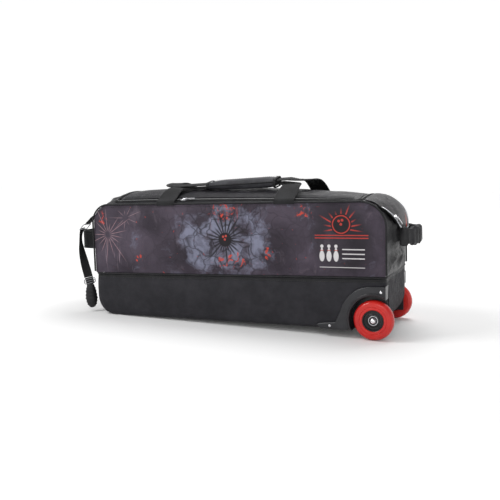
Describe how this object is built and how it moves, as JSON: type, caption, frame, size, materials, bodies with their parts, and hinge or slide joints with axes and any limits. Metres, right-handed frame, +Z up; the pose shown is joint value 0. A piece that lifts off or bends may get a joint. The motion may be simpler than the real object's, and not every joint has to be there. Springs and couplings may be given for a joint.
{
  "type": "rolling bowling bag",
  "caption": "Long soft bowling bag on two wheels, with a firm base, printed sides, a zipped top, carry handles, grab handles and a tow strap.",
  "frame": {"origin": "on the floor under the middle of the object's box", "axes": "+X along the bag towards the wheels, +Y from its front face to its back, +Z up; the bag leans down 1.7 degrees towards the end without wheels"},
  "size_m": [0.8774, 0.2734, 0.3576],
  "materials": {
    "base_fabric": "coated dark grey pack cloth",
    "black_fabric": "black pack cloth with a slight shine",
    "print": "printed pack cloth, dark plum with blue-grey clouds and red flecks",
    "webbing": "black woven webbing",
    "piping": "black covered piping",
    "zip": "black coil zip tape",
    "board": "matt black board",
    "foam": "dark grey foam with a cloth face",
    "moulding": "satin dark grey moulded plastic",
    "tyre": "smooth red urethane",
    "hub": "black moulded plastic",
    "metal": "bright plated steel"
  },
  "bodies": {
    "bag": {"base_cover": "base_fabric", "base_board": "board", "base_piping": "piping", "front_piping": "piping", "rear_piping": "piping", "front_panel": "print", "rear_panel": "print", "left_end_panel": "black_fabric", "right_end_panel": "black_fabric", "front_top_strip": "black_fabric", "rear_top_strip": "black_fabric", "body_zip_tape": "zip", "left_ball_cup": "foam", "middle_ball_cup": "foam", "right_ball_cup": "foam", "left_divider": "foam", "right_divider": "foam", "front_left_handle_patch": "webbing", "front_right_handle_patch": "webbing", "rear_left_handle_patch": "webbing", "rear_right_handle_patch": "webbing", "pocket_flap": "print", "pocket_zip_tape": "zip", "left_grab_handle": "webbing", "right_grab_handle": "webbing", "tow_tab": "webbing", "near_wheel_axle_bolt": "metal", "near_wheel_axle_nut": "metal", "near_wheel_axle_spacer": "metal", "near_wheel_housing": "moulding", "near_wheel_housing_rivet": "metal", "far_wheel_axle_bolt": "metal", "far_wheel_axle_nut": "metal", "far_wheel_axle_spacer": "metal", "far_wheel_housing": "moulding", "far_wheel_housing_rivet": "metal"},
    "near_wheel": {"near_wheel_tyre": "tyre", "near_wheel_hub": "hub", "near_wheel_outer_bearing": "metal", "near_wheel_inner_bearing": "metal"},
    "far_wheel": {"far_wheel_tyre": "tyre", "far_wheel_hub": "hub", "far_wheel_outer_bearing": "metal", "far_wheel_inner_bearing": "metal"},
    "lid": {"lid_panel": "black_fabric", "lid_zip_tape": "zip"},
    "front_handle": {"front_handle_webbing": "webbing"},
    "rear_handle": {"rear_handle_webbing": "webbing", "handle_wrap": "black_fabric"},
    "main_slider": {"zip_slider": "metal"},
    "main_puller": {"zip_puller": "metal"},
    "end_slider": {"pocket_slider": "metal"},
    "end_puller": {"pocket_puller": "metal"},
    "tow_strap": {"tow_ring": "metal", "tow_strap_webbing": "webbing", "tow_adjuster": "metal", "tow_grip": "moulding"}
  },
  "joints": [
    {"name": "near_wheel_spin", "type": "hinge", "parent": "bag", "child": "near_wheel", "pos_m": [0.36532, -0.1203, 0.04443], "axis": [0, 1, 0], "continuous": true},
    {"name": "far_wheel_spin", "type": "hinge", "parent": "bag", "child": "far_wheel", "pos_m": [0.36532, 0.1203, 0.04443], "axis": [0, 1, 0], "continuous": true},
    {"name": "lid_hinge", "type": "hinge", "parent": "bag", "child": "lid", "pos_m": [0.01058, 0.1015, 0.3017], "axis": [-0.9996, 0, -0.0295], "range_deg": [0, 105]},
    {"name": "front_handle_fold", "type": "hinge", "parent": "bag", "child": "front_handle", "pos_m": [0.01058, -0.121, 0.30157], "axis": [0.9996, 0, 0.0295], "range_deg": [0, 200], "deforming": ["front_handle_webbing"]},
    {"name": "rear_handle_fold", "type": "hinge", "parent": "bag", "child": "rear_handle", "pos_m": [0.01058, 0.121, 0.30157], "axis": [-0.9996, 0, -0.0295], "range_deg": [0, 200], "deforming": ["rear_handle_webbing"]},
    {"name": "main_zip_slide", "type": "slide", "parent": "bag", "child": "main_slider", "axis": [0.9996, 0, 0.0272], "range_m": [0, 0.19]},
    {"name": "main_puller_flip", "type": "hinge", "parent": "main_slider", "child": "main_puller", "pos_m": [-0.10222, -0.11194, 0.30166], "axis": [0.0129, -0.8813, -0.4724], "range_deg": [0, 110]},
    {"name": "pocket_zip_slide", "type": "slide", "parent": "bag", "child": "end_slider", "axis": [0.1666, 0.848, -0.5031], "range_m": [-0.02, 0.005]},
    {"name": "pocket_puller_flip", "type": "hinge", "parent": "end_slider", "child": "end_puller", "pos_m": [0.40442, -0.07399, 0.26531], "axis": [0.2551, -0.5299, -0.8088], "range_deg": [0, 100]},
    {"name": "tow_strap_swing", "type": "hinge", "parent": "bag", "child": "tow_strap", "pos_m": [-0.395, -0.108, 0.23057], "axis": [0, 1, 0], "range_deg": [0, 140]}
  ],
  "couplings": [
    {"joint": "front_handle_fold", "follows": "lid_hinge", "ratio": 1.9},
    {"joint": "rear_handle_fold", "follows": "lid_hinge", "ratio": 1.9}
  ]
}
